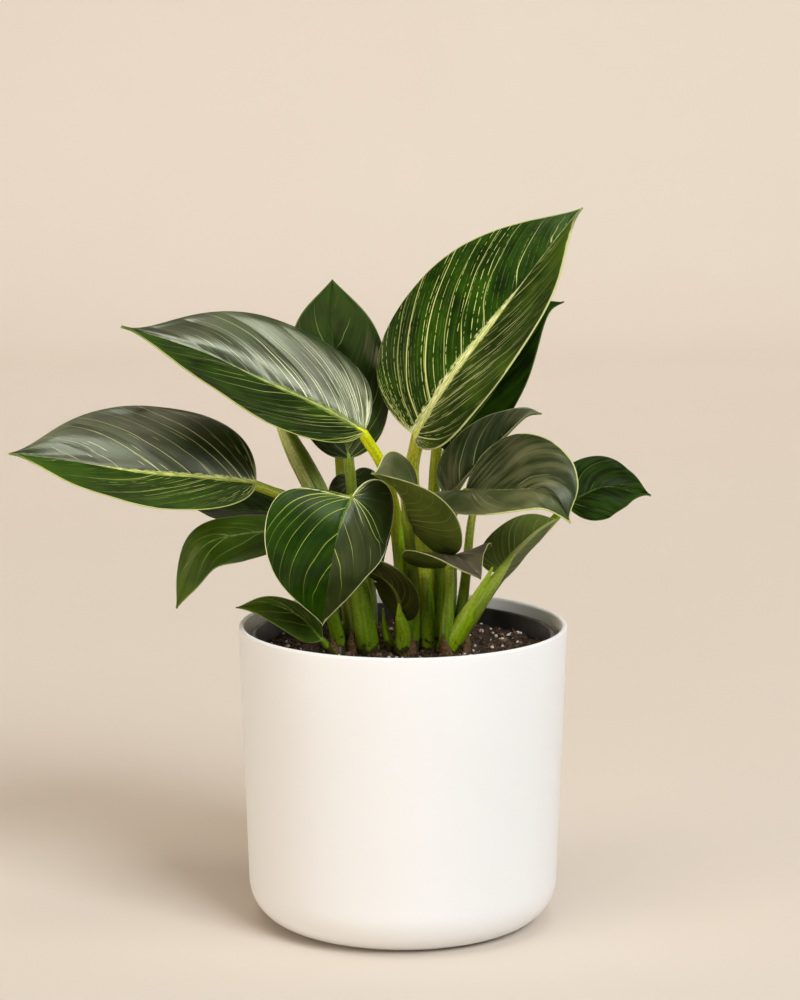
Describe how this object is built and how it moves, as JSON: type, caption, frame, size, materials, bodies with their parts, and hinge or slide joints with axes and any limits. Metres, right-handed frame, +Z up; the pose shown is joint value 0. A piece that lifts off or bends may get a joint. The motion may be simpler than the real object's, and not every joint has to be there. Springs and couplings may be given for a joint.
{
  "type": "potted philodendron birkin",
  "caption": "Bushy foliage plant with cream-striped heart-shaped leaves on upright stalks, in a dark liner pot inside a plain white round pot with a rounded foot.",
  "frame": {"origin": "middle of the outer pot's flat underside", "axes": "+Z up through the middle of the pot, +X to the right seen from the plant's front, +Y to its back"},
  "size_m": [0.2937, 0.152, 0.3318],
  "materials": {
    "outer_pot": "satin",
    "nursery_pot": "satin",
    "potting_mix": "matte",
    "petiole": "satin",
    "new_leaf": "satin",
    "leaf": "satin"
  },
  "bodies": {
    "root": {"outer_pot": "outer_pot", "nursery_pot": "nursery_pot", "potting_mix": "potting_mix", "shoot_left": "petiole", "shoot_centre_left": "petiole", "shoot_centre": "petiole", "shoot_centre_right": "petiole", "shoot_right": "petiole", "new_leaf_spear": "new_leaf", "leaf_top_right": "leaf", "leaf_top_left": "leaf", "leaf_left": "leaf", "leaf_front": "leaf", "leaf_top_back": "leaf", "leaf_right_back": "leaf", "leaf_folded": "leaf", "leaf_right": "leaf", "leaf_curled": "leaf", "leaf_far_right": "leaf", "leaf_low_right": "leaf", "leaf_small_centre": "leaf", "leaf_low_left": "leaf", "leaf_dark_left": "leaf", "leaf_over_rim": "leaf", "leaf_arched": "leaf", "leaf_behind_front": "leaf", "leaf_back_left": "leaf", "leaf_back_right": "leaf", "leaf_back_low": "leaf"}
  },
  "joints": []
}
